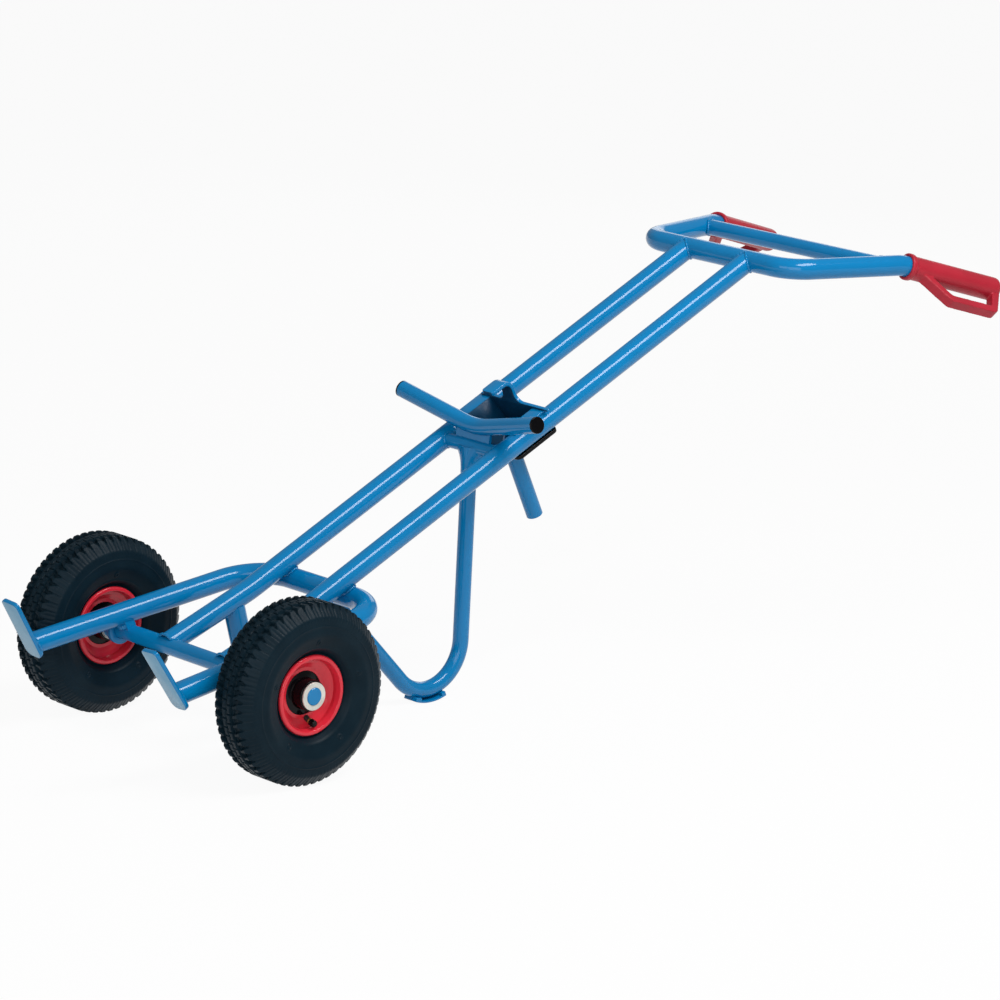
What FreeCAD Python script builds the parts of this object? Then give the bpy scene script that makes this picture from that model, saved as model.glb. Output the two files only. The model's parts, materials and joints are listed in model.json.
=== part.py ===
import FreeCAD, Part
import math
import os

os.makedirs("parts", exist_ok=True)

V = FreeCAD.Vector

# Sizes that set the trolley, in millimetres and degrees.
# "along" runs up the rails from the axle, "out" runs square to them towards the drum.
tyre_dia = 260.0
tyre_width = 85.0
wheel_track = 450.0
parked_angle = 26.8
main_tube_dia = 32.0
slim_tube_dia = 25.0
mid_tube_dia = 22.0
stand_tube_dia = 24.0
tube_wall = 2.0

# Rails
rail_spacing = 129.0
rail_out = -9.6
rail_bend_along = 160.0
rail_foot_out = 3.1
rail_bend = 250.0

# Fork with its two toe plates
fork_bar_along = 234.6
fork_spread = 21.1
fork_bend = 72.0
fork_toe_along = -130.0
fork_toe_out = 74.0
fork_tyre_gap = 5.2
toe_tip_along = -160.5
toe_tip_out = 160.4
toe_tilt_angle = 5.9
toe_length = 105.0
toe_width = 34.0
toe_thick = 6.5
toe_corner = 12.0
toe_tip_round = 7.0
toe_lean_angle = 4.2

# Axle and what sits on it
axle_dia = 25.0
axle_stub = 1.1
axle_chamfer = 1.0
collar_dia = 43.0
collar_thick = 8.0
collar_set_in = 50.0
ring_dia = 40.0
ring_thick = 3.0
washer_dia = 38.0
washer_thick = 2.0
weld_length = 26.0
weld_width = 15.0

# Wheel
rim_flange_dia = 115.0
rim_seat_dia = 101.6
rim_width = 49.6
rim_sheet = 2.2
rim_roll_dia = 6.0
web_hole_dia = 63.0
web_seat = 7.5
web_meet = 14.0
hub_dia = 44.0
hub_length = 60.0
bush_dia = 32.0
tube_rubber = 2.0
valve_radius = 39.0
valve_angle = 12.0
valve_dia = 8.0
valve_reach = 20.0
valve_cap_dia = 9.6
valve_cap_length = 10.0

# Tread: ribs round the crown, blocks between them and lugs over the shoulders
lug_count = 60
tread_depth = 4.6
groove_across = 20.4
groove_width = 3.2
rib_across = 10.0
rib_width = 2.1
rib_depth = 3.6
slot_width = 3.2
slot_depth = 4.1
notch_half = 2.9
notch_end_half = 1.25
notch_slant = 0.2

# Parking stand
stand_set_back = 5.0
stand_bend = 68.0
shoe_thick = 3.5
shoe_slot = 1.5
shoe_width = 27.0
shoe_front_angle = 19.0
shoe_pad_angle = 18.0
shoe_back_angle = 24.5
shoe_lip_angle = 5.8

# Tilting step behind the rails
step_along = 126.0
step_reach = 122.0
step_lean_angle = 10.0
step_bend = 42.0

# Cradle bar that the drum lies in
mid_tube_along = 566.0
cradle_lead = 17.0
cradle_out = 16.4
cradle_half = 147.0
cradle_slope_angle = 14.2
cradle_bend = 120.0
gusset_length = 72.0
gusset_thick = 5.0
plug_flange = 3.0
plug_depth = 14.0

# Sliding hook carriage
saddle_length = 68.0
saddle_sheet = 3.0
saddle_half = 70.0
trough_top_half = 46.0
trough_floor_half = 27.0
back_plate_length = 85.0
back_plate_lead = 10.5
back_plate_half = 74.0
back_plate_thick = 6.0
back_plate_corner = 9.0
hook_width = 25.0
hook_foot_width = 146.0
hook_foot_lip = 3.5
hook_flare = 13.0
hook_thick = 6.0
hook_top_out = 51.5
hook_bend = 10.0
hook_nose = 25.0
hook_set_back = 1.0
lever_along = 45.0
lever_reach = 143.0

# Handle and grips
handle_along = 1114.8
handle_half = 154.0
handle_bend = 48.0
arm_drop_angle = 26.9
arm_splay_angle = 14.6
arm_length = 198.2
tail_bend = 60.0
tail_drop_angle = 15.0
tail_splay_angle = 12.4
tail_length = 168.0
brace_back = 165.0
grip_dia = 37.0
grip_length = 177.0
grip_collar_dia = 42.0
grip_collar_length = 8.0
guard_reach = 58.0
guard_band = 12.5
guard_width = 17.0
guard_turn_angle = 50.0
guard_start = 24.0
guard_slant = 43.0

# Clearances of the moving fits
bush_play = 0.05
hub_play = 0.4
slide_play = 0.35
stop_play = 1.0
weld_bite = 1.0
horn_trim = 5.0

# Values worked out from the sizes above
wheel_r = tyre_dia / 2
main_r = main_tube_dia / 2
slim_r = slim_tube_dia / 2
mid_r = mid_tube_dia / 2
stand_r = stand_tube_dia / 2
axle_r = axle_dia / 2
rail_y = rail_spacing / 2
fork_toe_half = wheel_track / 2 - tyre_width / 2 - main_r - fork_tyre_gap
fork_bar_half = fork_toe_half - fork_spread
collar_middle = wheel_track / 2 - collar_set_in
axle_length = wheel_track + hub_length + 2 * (hub_play + ring_thick + axle_stub)
cradle_along = mid_tube_along + cradle_lead
rail_front = rail_out + main_r
rail_back = rail_out - main_r
lean = math.radians(parked_angle)
Y = V(0, 1, 0)
ALONG = V(math.cos(lean), 0, math.sin(lean))
OUT = V(-math.sin(lean), 0, math.cos(lean))
AXLE = V(0, 0, wheel_r)
SIDES = {"left": -1, "right": 1}

parts = {}


def at(along, out, y=0.0):
    """Point of the frame given up the rails, towards the drum and across."""
    return AXLE + ALONG * along + OUT * out + Y * y


def unit(v):
    return V(v) * (1.0 / v.Length)


def rod(p, q, r):
    """Solid round bar from p to q."""
    return Part.makeCylinder(r, (q - p).Length, p, unit(q - p))


def disk(p, direction, r, hole=0.0):
    """Flat round face, with a hole if one is given."""
    face = Part.Face(Part.Wire(Part.makeCircle(r, p, direction)))
    if hole > 0:
        face = face.cut(Part.Face(Part.Wire(Part.makeCircle(hole, p, direction)))).Faces[0]
    return face


def bent(points, bend, r, hole=0.0):
    """Round bar or tube through the points, with every corner bent to one radius."""
    pieces = []
    start = points[0]
    for i in range(1, len(points)):
        into = unit(points[i] - points[i - 1])
        if i == len(points) - 1:
            pieces.append(disk(start, into, r, hole).extrude(points[i] - start))
            break
        away = unit(points[i + 1] - points[i])
        turn = into.getAngle(away)
        run = bend * math.tan(turn / 2)
        corner = points[i] - into * run
        axis = unit(into.cross(away))
        centre = corner + axis.cross(into) * bend
        pieces.append(disk(start, into, r, hole).extrude(corner - start))
        pieces.append(disk(corner, into, r, hole).revolve(centre, axis, math.degrees(turn)))
        start = points[i] + away * run
    return pieces[0].multiFuse(pieces[1:]).removeSplitter() if len(pieces) > 1 else pieces[0]


def rounded(points, radius):
    """Closed flat outline with its corners rounded, one radius for all or one each."""
    n = len(points)
    radii = radius if isinstance(radius, list) else [radius] * n
    edges = []
    last = None
    first = None
    for i in range(n):
        p = points[i]
        into = unit(p - points[i - 1])
        away = unit(points[(i + 1) % n] - p)
        run = radii[i] * math.tan(into.getAngle(away) / 2)
        a = p - into * run
        b = p + away * run
        if last is not None:
            edges.append(Part.makeLine(last, a))
        if run > 0:
            middle = unit(away - into)
            deep = radii[i] / math.cos(into.getAngle(away) / 2) - radii[i]
            edges.append(Part.Arc(a, p + middle * deep, b).toShape())
        first = a if first is None else first
        last = b
    edges.append(Part.makeLine(last, first))
    return Part.Face(Part.Wire(edges))


def spin(points, radius=0.0):
    """Ring turned about the axle from an outline of (radius, across) pairs."""
    face = rounded([V(r, s, 0) for r, s in points], radius)
    return face.revolve(V(0, 0, 0), Y, 360)


def keep_biggest(shape):
    return max(shape.Solids, key=lambda s: s.Volume)


# Axle line and the tubes that others are cut to fit
axle_bar = rod(at(0, 0, -axle_length / 2), at(0, 0, axle_length / 2), axle_r)
mid_bar = rod(at(mid_tube_along, rail_out, -rail_y), at(mid_tube_along, rail_out, rail_y), mid_r)
rail_points = {}
rail_bars = {}
for side, s in SIDES.items():
    rail_points[side] = [at(0, rail_foot_out, s * rail_y), at(rail_bend_along, rail_out, s * rail_y),
                         at(handle_along - horn_trim, rail_out, s * rail_y)]
    rail_bars[side] = bent(rail_points[side], rail_bend, main_r)

# Handle: one bent tube whose ends drop into the grips
arm_tilt = math.radians(parked_angle - arm_drop_angle)
tail_tilt = math.radians(parked_angle - arm_drop_angle - tail_drop_angle)


def heading(tilt, splay, s):
    """Direction that rises by tilt and turns away from the middle by splay degrees."""
    side_turn = math.radians(splay)
    level = math.cos(side_turn)
    return V(math.cos(tilt) * level, s * math.sin(side_turn), math.sin(tilt) * level)


handle_corner = {}
arm_end = {}
arm_way = {}
tail_way = {}
for side, s in SIDES.items():
    arm_way[side] = heading(arm_tilt, arm_splay_angle, s)
    tail_way[side] = heading(tail_tilt, tail_splay_angle, s)
    handle_corner[side] = at(handle_along, rail_out, s * handle_half)
    arm_end[side] = handle_corner[side] + arm_way[side] * arm_length
tail_run = tail_bend * math.tan(arm_way["left"].getAngle(tail_way["left"]) / 2)


def handle_half_tube(side, r, hole):
    """Base, corner, arm and tail of one half of the handle."""
    middle = at(handle_along, rail_out, 0)
    corner = handle_corner[side]
    into = unit(corner - middle)
    run = handle_bend * math.tan(into.getAngle(arm_way[side]) / 2)
    base_end = corner - into * run
    axis = unit(into.cross(arm_way[side]))
    centre = base_end + axis.cross(into) * handle_bend
    base = disk(middle, into, r, hole).extrude(base_end - middle)
    turn = math.degrees(into.getAngle(arm_way[side]))
    elbow = disk(base_end, into, r, hole).revolve(centre, axis, turn)
    arm_start = corner + arm_way[side] * run
    tail = arm_end[side] + tail_way[side] * (tail_run + tail_length)
    arm = bent([arm_start, arm_end[side], tail], tail_bend, r, hole)
    return [base, elbow, arm]


def handle_tube(r, hole):
    pieces = handle_half_tube("left", r, hole) + handle_half_tube("right", r, hole)
    return pieces[0].multiFuse(pieces[1:]).removeSplitter()


handle_solid = handle_tube(main_r, 0.0)
parts["handle_loop"] = handle_tube(main_r, main_r - tube_wall)

brace_mid = at(handle_along, rail_out, 0) + heading(arm_tilt, 0, 1) * brace_back
brace_half = handle_half + brace_back * math.tan(math.radians(arm_splay_angle))
brace = disk(brace_mid - Y * brace_half, Y, slim_r, slim_r - tube_wall).extrude(Y * brace_half * 2)
parts["handle_brace"] = keep_biggest(brace.cut(handle_solid))

# Rails bend a little to meet the axle below, and butt on the handle above
for side in SIDES:
    tube = bent(rail_points[side], rail_bend, main_r, main_r - tube_wall)
    parts["rail_" + side] = keep_biggest(tube.cut(handle_solid).cut(axle_bar))

# Fork: bent tube that passes behind the rails and over the axle
fork_bar_out = rail_out - main_tube_dia + weld_bite
leg_slope = (fork_toe_out - fork_bar_out) / (fork_toe_along - fork_bar_along)
leg_spread = (fork_toe_half - fork_bar_half) / (fork_toe_along - fork_bar_along)
leg_end_along = toe_tip_along - main_tube_dia


def leg_at(along, s):
    return at(along, fork_bar_out + leg_slope * (along - fork_bar_along),
              s * (fork_bar_half + leg_spread * (along - fork_bar_along)))


fork_points = [leg_at(leg_end_along, -1), leg_at(fork_bar_along, -1),
               leg_at(fork_bar_along, 1), leg_at(leg_end_along, 1)]
fork_solid = bent(fork_points, fork_bend, main_r)
fork = bent(fork_points, fork_bend, main_r, main_r - tube_wall)
for bar in rail_bars.values():
    fork = fork.cut(bar)

# Toe plates close the fork legs, nearly square to the rails
tilt = math.radians(toe_tilt_angle)
toe_up = OUT * math.cos(tilt) - ALONG * math.sin(tilt)
toe_face = ALONG * -math.cos(tilt) - OUT * math.sin(tilt)
lean_in = math.radians(toe_lean_angle)
sole_tip = at(toe_tip_along, toe_tip_out)
plate_back = sole_tip - toe_face * toe_thick
trim_wide = wheel_track
trim_corners = []
for up, across in ((1, -1), (-1, -1), (-1, 1), (1, 1)):
    trim_corners.append(plate_back + toe_up * (up * trim_wide) + Y * (across * trim_wide))
trim = rounded(trim_corners, 0.0).extrude(toe_face * toe_length)
parts["fork_tube"] = keep_biggest(fork.cut(trim))
for side, s in SIDES.items():
    leg = leg_at(toe_tip_along, s)
    plate_up = toe_up * math.cos(lean_in) - Y * (s * math.sin(lean_in))
    plate_across = Y * math.cos(lean_in) + toe_up * (s * math.sin(lean_in))
    tip = V(sole_tip.x, leg.y, sole_tip.z) - Y * (s * (sole_tip - leg).dot(toe_up) * math.tan(lean_in))
    corners = []
    for up, across in ((0, -1), (0, 1), (-1, 1), (-1, -1)):
        corners.append(tip + plate_up * (up * toe_length) + plate_across * (across * toe_width / 2))
    outline = rounded(corners, [toe_tip_round, toe_tip_round, toe_corner, toe_corner])
    parts["toe_plate_" + side] = outline.extrude(toe_face * -toe_thick)

# Axle with the weld pads that carry the fork legs, and its collars
axle = axle_bar
for s in SIDES.values():
    foot = leg_at(0, s)
    pad = Part.makeBox(weld_width, weld_length, 40.0)
    pad.Placement = FreeCAD.Placement(V(0, 0, 0), FreeCAD.Rotation(V(0, 1, 0), -parked_angle))
    pad.translate(at(-weld_width / 2, 0, foot.y - weld_length / 2))
    axle = axle.fuse(keep_biggest(pad.cut(fork_solid)))
axle_ends = [e for e in axle.Edges if abs(abs(e.CenterOfMass.y) - axle_length / 2) < 0.01]
axle = axle.makeChamfer(axle_chamfer, axle_ends).removeSplitter()
parts["axle"] = keep_biggest(axle)
for side, s in SIDES.items():
    collar_in = at(0, 0, s * (collar_middle - collar_thick / 2))
    collar = disk(collar_in, Y, collar_dia / 2, axle_r)
    parts["axle_collar_" + side] = collar.extrude(Y * (s * collar_thick))

# Rings that keep each wheel in its place on the axle
hub_inner = wheel_track / 2 - hub_length / 2
hub_outer = wheel_track / 2 + hub_length / 2
for side, s in SIDES.items():
    inner = at(0, 0, s * (hub_inner - hub_play))
    outer = at(0, 0, s * (hub_outer + hub_play))
    sleeve_in = at(0, 0, s * (collar_middle + collar_thick / 2))
    sleeve_end = hub_inner - hub_play - washer_thick
    sleeve = disk(sleeve_in, Y, slim_r + 4.0, axle_r)
    parts["axle_spacer_" + side] = sleeve.extrude(Y * (s * sleeve_end - sleeve_in.y))
    parts["inner_washer_" + side] = disk(inner, Y, washer_dia / 2, axle_r).extrude(Y * (-s * washer_thick))
    parts["lock_ring_" + side] = disk(outer, Y, ring_dia / 2, axle_r).extrude(Y * (s * ring_thick))

# Wheel pieces, turned about the axle and then set on each side
rim_r = rim_flange_dia / 2
seat_r = rim_seat_dia / 2
half_rim = rim_width / 2
hub_r = hub_dia / 2
web_r = web_hole_dia / 2
roll_r = rim_roll_dia / 2
half_tyre = tyre_width / 2

bead = half_rim - rim_sheet
barrel_r = seat_r - rim_sheet
barrel = spin([(barrel_r, 0), (seat_r, 0), (seat_r, bead), (rim_r, bead), (rim_r, bead + rim_roll_dia),
               (rim_r - rim_roll_dia, bead + rim_roll_dia), (barrel_r, bead - 1)],
              [0, 0, 0, roll_r - 0.1, roll_r - 0.1, 1.5, 4.0])
web = spin([(web_r, web_seat), (web_r + 6, web_seat), (barrel_r - 4, web_meet - 2), (barrel_r, web_meet),
            (barrel_r, web_meet + rim_sheet), (barrel_r - 5, web_meet - 2 + rim_sheet),
            (web_r + 5, web_seat + rim_sheet), (web_r, web_seat + rim_sheet)])
rim_half = barrel.fuse(web).removeSplitter()

half_hub = hub_length / 2
bush_r = bush_dia / 2
boss_half = web_seat + rim_sheet
hub_body = spin([(bush_r, -half_hub), (hub_r, -half_hub), (hub_r, -boss_half), (web_r, -boss_half),
                 (web_r, boss_half), (hub_r, boss_half), (hub_r, half_hub), (bush_r, half_hub)])
bush_hole = axle_r + bush_play
bush = spin([(bush_hole, -half_hub), (bush_r, -half_hub), (bush_r, half_hub), (bush_hole, half_hub)])

# Tyre wall, bead to bead, with its grooves, and the air tube that fills it
toe = bead - 10.0
wall = [(seat_r, -toe), (seat_r, -bead), (rim_r + 2, -bead), (rim_r + 9, -half_tyre + 9),
        (rim_r + 30, -half_tyre), (wheel_r - 17, -half_tyre + 3), (wheel_r, -half_tyre + 19)]
wall_rounds = [0, 0, 2, 8, 14, 8, 2]
groove = (groove_width, tread_depth)
rib = (rib_width, rib_depth)
crown = []
for middle, (width, deep) in ((-groove_across, groove), (-rib_across, rib), (0.0, rib),
                              (rib_across, rib), (groove_across, groove)):
    low = width / 2 - deep / 15
    crown += [(wheel_r, middle - width / 2), (wheel_r - deep, middle - low),
              (wheel_r - deep, middle + low), (wheel_r, middle + width / 2)]
skin = wall + crown + [(r, -s) for r, s in reversed(wall)]
skin_rounds = wall_rounds + [0] * len(crown) + wall_rounds[::-1]
lining = [(rim_r + 4, toe + 1), (rim_r + 28, half_tyre - 8), (wheel_r - 18, half_tyre - 12),
          (wheel_r - 11, half_tyre - 24), (wheel_r - 11, -half_tyre + 24), (wheel_r - 18, -half_tyre + 12),
          (rim_r + 28, -half_tyre + 8), (rim_r + 4, -toe - 1)]
lining_rounds = [6, 6, 5, 5, 5, 5, 6, 6]
tyre = spin(skin + lining, skin_rounds + lining_rounds)
bladder_out = rounded([V(r, s, 0) for r, s in [(seat_r, -toe), (seat_r, toe)] + lining],
                      [0, 0] + lining_rounds)
bladder_in = bladder_out.OuterWire.makeOffset2D(-tube_rubber)
bladder = bladder_out.cut(Part.Face(bladder_in)).Faces[0].revolve(V(0, 0, 0), Y, 360)

# Lugs: slots across the crown and notches over the shoulders, staggered from row to row
notch_outline = [(wheel_r - tread_depth, groove_across), (wheel_r - 17.7, half_tyre - 5),
                 (wheel_r - 27.5, half_tyre - 1.3), (wheel_r - 27.5, half_tyre + 8),
                 (wheel_r + 6, half_tyre + 8), (wheel_r + 6, groove_across)]


def slot_outline(start, stop):
    low = wheel_r - slot_depth
    return [(low, start), (low, stop), (wheel_r + 6, stop), (wheel_r + 6, start)]


def lug_cutter(outline, half, end_half, slant):
    """Wedge over an outline of (radius, across), narrowing and slanting away from the crown."""
    near = []
    far = []
    for r, s in outline:
        reach = abs(s) - groove_across
        wide = half + (end_half - half) * reach / (half_tyre - groove_across)
        near.append(V(-slant * reach - wide, s, r))
        far.append(V(-slant * reach + wide, s, r))
    faces = [Part.Face(Part.makePolygon(edge + edge[:1])) for edge in (near, far)]
    for i in range(len(outline)):
        faces.append(Part.Face(Part.makePolygon([near[i - 1], near[i], far[i], far[i - 1], near[i - 1]])))
    return Part.Solid(Part.Shell(faces))


slot_half = slot_width / 2
lug_cutters = []
for s, stagger in ((-1, 0.0), (1, 0.5)):
    for outline, shift_lug, half, end_half, slant in (
            (notch_outline, stagger, notch_half, notch_end_half, notch_slant),
            (slot_outline(0.0, rib_across), stagger, slot_half, slot_half, 0.0),
            (slot_outline(rib_across, groove_across), stagger + 0.5, slot_half, slot_half, 0.0)):
        cutter = lug_cutter([(r, s * across) for r, across in outline], half, end_half, slant)
        for k in range(lug_count):
            copy = cutter.copy()
            copy.rotate(V(0, 0, 0), Y, (k + shift_lug) * 360.0 / lug_count)
            lug_cutters.append(copy)
tyre = keep_biggest(tyre.cut(lug_cutters))

# Valve stands in the dish of the outer rim half, below the hub
valve_turn = math.radians(valve_angle)
valve_way = V(math.sin(valve_turn), 0, -math.cos(valve_turn))
valve_foot = valve_way * valve_radius
stem = rod(valve_foot, valve_foot + Y * (web_meet + valve_reach - valve_cap_length), valve_dia / 2)
stem = keep_biggest(stem.cut(rim_half).cut(hub_body))
cap_at = valve_foot + Y * (web_meet + valve_reach - valve_cap_length)
cap_end = cap_at + Y * valve_cap_length
cap = rod(cap_at, cap_end, valve_cap_dia / 2)
cap = cap.makeChamfer(1.2, [e for e in cap.Edges if abs(e.CenterOfMass.y - cap_end.y) < 0.01])

mirror_half = rim_half.mirror(V(0, 0, 0), Y)
wheel = {"rim_outer": rim_half, "rim_inner": mirror_half, "hub": hub_body, "hub_bush": bush,
         "tyre": tyre, "air_tube": bladder, "valve_stem": stem, "valve_cap": cap}
for side, s in SIDES.items():
    for name, shape in wheel.items():
        piece = shape.copy() if s > 0 else shape.mirror(V(0, 0, 0), Y)
        if name == "tyre" and s < 0:
            piece = shape.copy()
            piece.rotate(V(0, 0, 0), V(0, 0, 1), 180)
        piece.translate(V(0, s * wheel_track / 2, wheel_r))
        parts[name + "_" + side] = piece

# Parking stand: leg down from the mid tube, bend on the shoe, leg up under the fork bar
fork_bar_mid = at(fork_bar_along, fork_bar_out)
stand_low = stand_bend + stand_r + shoe_slot + shoe_thick
mid_at = at(mid_tube_along, rail_out)
stand_leg_x = mid_at.x - stand_set_back
bend_mid = V(stand_leg_x - stand_bend, 0, stand_low)
link = bend_mid - fork_bar_mid
slope = math.atan2(link.z, link.x) - math.asin(stand_bend / link.Length)
stand_way = V(math.cos(slope), 0, math.sin(slope))
stand_corner = fork_bar_mid + stand_way * ((stand_leg_x - fork_bar_mid.x) / stand_way.x)
stand_points = [fork_bar_mid, stand_corner, V(stand_leg_x, 0, mid_at.z)]
stand = bent(stand_points, stand_bend, stand_r, stand_r - tube_wall)
stand_solid = bent(stand_points, stand_bend, stand_r)
parts["stand_tube"] = keep_biggest(stand.cut(fork_solid).cut(mid_bar))


def sector(r_in, r_out, start, stop, width):
    """Curved strap about the stand's bend, angles from straight down towards the handle."""
    p = bend_mid + V(0, -width / 2, 0)
    way = V(math.sin(math.radians(start)), 0, -math.cos(math.radians(start)))
    near = p + way * r_in
    far = p + way * r_out
    face = Part.Face(Part.makePolygon([near, far, far + Y * width, near + Y * width, near]))
    return face.revolve(bend_mid, V(0, -1, 0), stop - start)


shoe_in = stand_bend + stand_r
shoe_out = stand_low
shoe = sector(shoe_in + shoe_slot, shoe_out, -shoe_front_angle, shoe_back_angle, shoe_width)
pad_in = shoe_in - 3.0
pad_out = shoe_in + shoe_slot
front_pad = sector(pad_in, pad_out, -shoe_front_angle, shoe_pad_angle - shoe_front_angle, shoe_width)
back_lip = sector(pad_in, pad_out, shoe_back_angle - shoe_lip_angle, shoe_back_angle, shoe_width)
shoe = shoe.fuse(front_pad.cut(stand_solid)).fuse(back_lip.cut(stand_solid)).removeSplitter()
parts["stand_shoe"] = keep_biggest(shoe)

# Tilting step: bent tube behind the rails
step_turn = math.radians(step_lean_angle)
step_way = OUT * -math.cos(step_turn) - ALONG * math.sin(step_turn)
step_points = []
for s, deep in ((-1, horn_trim), (-1, step_reach), (1, step_reach), (1, horn_trim)):
    step_points.append(at(step_along, rail_out, s * rail_y) + step_way * deep)
step = bent(step_points, step_bend, main_r, main_r - tube_wall)
for bar in rail_bars.values():
    step = step.cut(bar)
parts["step_bar"] = keep_biggest(step)

# Cross tube between the rails, cradle bar above it and the gusset that joins them
mid_end = at(mid_tube_along, rail_out, -rail_y)
mid_tube = disk(mid_end, Y, mid_r, mid_r - tube_wall).extrude(Y * rail_spacing)
for bar in rail_bars.values():
    mid_tube = mid_tube.cut(bar)
parts["mid_tube"] = keep_biggest(mid_tube)

cradle_turn = math.radians(cradle_slope_angle)
cradle_dip = cradle_bend * (1 / math.cos(cradle_turn) - 1)
cradle_low = cradle_out - cradle_dip
cradle_end_out = cradle_low + cradle_half * math.tan(cradle_turn)
cradle_points = [at(cradle_along, cradle_end_out, -cradle_half), at(cradle_along, cradle_low),
                 at(cradle_along, cradle_end_out, cradle_half)]
cradle_solid = bent(cradle_points, cradle_bend, slim_r)
parts["cradle_bar"] = bent(cradle_points, cradle_bend, slim_r, slim_r - tube_wall)

gusset_way = at(cradle_along, cradle_out) - mid_at
across = unit(gusset_way.cross(Y))
gusset_near = mid_at - across * (gusset_thick / 2) - Y * (gusset_length / 2)
gusset_far = gusset_near + Y * gusset_length
gusset_rise = gusset_way * 1.3
gusset_face = rounded([gusset_near, gusset_far, gusset_far + gusset_rise, gusset_near + gusset_rise], 0.0)
gusset = gusset_face.extrude(across * gusset_thick).cut(mid_bar).cut(cradle_solid)
gusset_pieces = sorted(gusset.Solids, key=lambda s: (s.CenterOfMass - mid_at).Length)
parts["cradle_gusset"] = gusset_pieces[0]

for side, s in SIDES.items():
    end = cradle_points[1 + s]
    away = unit(end - cradle_points[1])
    plug = rod(end - away * plug_depth, end, slim_r - tube_wall)
    head = rod(end, end + away * plug_flange, slim_r)
    rim_edges = [e for e in head.Edges if (e.CenterOfMass - end - away * plug_flange).Length < 0.01]
    parts["cradle_plug_" + side] = plug.fuse(head.makeFillet(1.2, rim_edges))

# Hook carriage: saddle in front of the rails, plate behind them, hook and lever
saddle_start = cradle_along + slim_r + stop_play
flange_low = rail_front + slide_play
plate_top = rail_back - slide_play
floor_top = plate_top + saddle_sheet
edge = [(saddle_half, flange_low), (saddle_half, flange_low + saddle_sheet),
        (trough_top_half, flange_low + saddle_sheet), (trough_floor_half, floor_top)]
under = [(trough_floor_half + 3, plate_top), (trough_top_half + 2, flange_low)]
left_edge = [(-y, o) for y, o in reversed(edge)]
left_under = [(-y, o) for y, o in reversed(under)]
profile = edge + left_edge + left_under + under
saddle_face = rounded([at(saddle_start, o, y) for y, o in profile], 0.0)
parts["saddle"] = saddle_face.extrude(ALONG * saddle_length)

plate_start = saddle_start - back_plate_lead
plate_corners = [at(plate_start, plate_top, -back_plate_half), at(plate_start, plate_top, back_plate_half),
                 at(plate_start + back_plate_length, plate_top, back_plate_half),
                 at(plate_start + back_plate_length, plate_top, -back_plate_half)]
parts["back_plate"] = rounded(plate_corners, back_plate_corner).extrude(OUT * -back_plate_thick)

riser_back = saddle_start + saddle_length - hook_set_back
riser_front = riser_back - hook_thick
bend_out = hook_top_out - hook_bend - hook_thick
half_foot = hook_foot_width / 2
half_hook = hook_width / 2
flange_top = flange_low + saddle_sheet
lip_top = flange_top + hook_foot_lip
foot_side = [(trough_floor_half, floor_top), (trough_top_half, flange_top), (half_foot, flange_top),
             (half_foot, lip_top), (half_hook, lip_top), (half_hook, bend_out)]
foot_radii = [0, 0, 0, 1.5, hook_flare, 0]
foot_points = [at(riser_front, o, y) for y, o in foot_side]
foot_points += [at(riser_front, o, -y) for y, o in reversed(foot_side)]
riser = rounded(foot_points, foot_radii + foot_radii[::-1]).extrude(ALONG * hook_thick)
bend_axis = at(riser_front - hook_bend, bend_out, 0)
strip = rounded([at(riser_front, bend_out, -half_hook), at(riser_back, bend_out, -half_hook),
                 at(riser_back, bend_out, half_hook), at(riser_front, bend_out, half_hook)], 0.0)
crook = strip.revolve(bend_axis, Y, -90)
nose_at = riser_front - hook_bend
nose_low = hook_top_out - hook_thick
nose_end = nose_at - hook_nose
nose = rounded([at(nose_at, nose_low, -half_hook), at(nose_at, nose_low, half_hook),
                at(nose_end, nose_low, half_hook), at(nose_end, nose_low, -half_hook)], [0, 0, 5.0, 5.0])
nose = nose.extrude(OUT * hook_thick)
parts["hook"] = riser.fuse(crook).fuse(nose).removeSplitter()

plate_low = plate_top - back_plate_thick
lever_top = at(plate_start + lever_along, plate_low)
parts["lever"] = disk(lever_top, OUT, slim_r, slim_r - tube_wall).extrude(OUT * -lever_reach)

# Grips pushed on the handle's tails, each with its knuckle guard
grip_r = grip_dia / 2
collar_r = grip_collar_dia / 2
for side, s in SIDES.items():
    g = tail_way[side]
    level = unit(g.cross(V(0, 0, 1))) * -s
    level = level if level.y * s > 0 else level * -1
    down = unit(g.cross(level))
    down = down if down.z < 0 else down * -1
    turn = math.radians(guard_turn_angle)
    w = level * math.sin(turn) + down * math.cos(turn)
    n = unit(g.cross(w))
    start = arm_end[side] + g * tail_run

    def spot(m, d):
        return start + g * m + w * d

    shell = [spot(0, main_r), spot(0, collar_r), spot(grip_collar_length, collar_r),
             spot(grip_collar_length + 3, grip_r), spot(grip_length, grip_r), spot(grip_length, 0),
             spot(tail_length, 0), spot(tail_length, main_r)]
    body = rounded(shell, [0, 1.5, 1.5, 1.0, 9.0, 0, 0, 0]).revolve(start, g, 360)
    slant_end = guard_start + guard_slant
    inset = guard_band * guard_slant / (guard_reach - main_r) + guard_band / 3
    guard_low = guard_reach - guard_band
    outer = [spot(guard_start, main_r + 1), spot(slant_end, guard_reach),
             spot(grip_length - 21, guard_reach), spot(grip_length - 4, main_r + 1)]
    inner = [spot(guard_start + inset, main_r), spot(slant_end + guard_band / 3, guard_low),
             spot(grip_length - 22 - guard_band / 2, guard_low), spot(grip_length - 18, main_r)]
    loop = rounded(outer, [0, 12, 9, 0]).cut(rounded(inner, [0, 6, 5, 0]))
    guard = loop.extrude(n * guard_width)
    guard.translate(n * (-guard_width / 2))
    tail = rod(start, start + g * tail_length, main_r)
    grip = body.fuse(guard).cut(tail).removeSplitter()
    parts["grip_" + side] = keep_biggest(grip)

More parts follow.
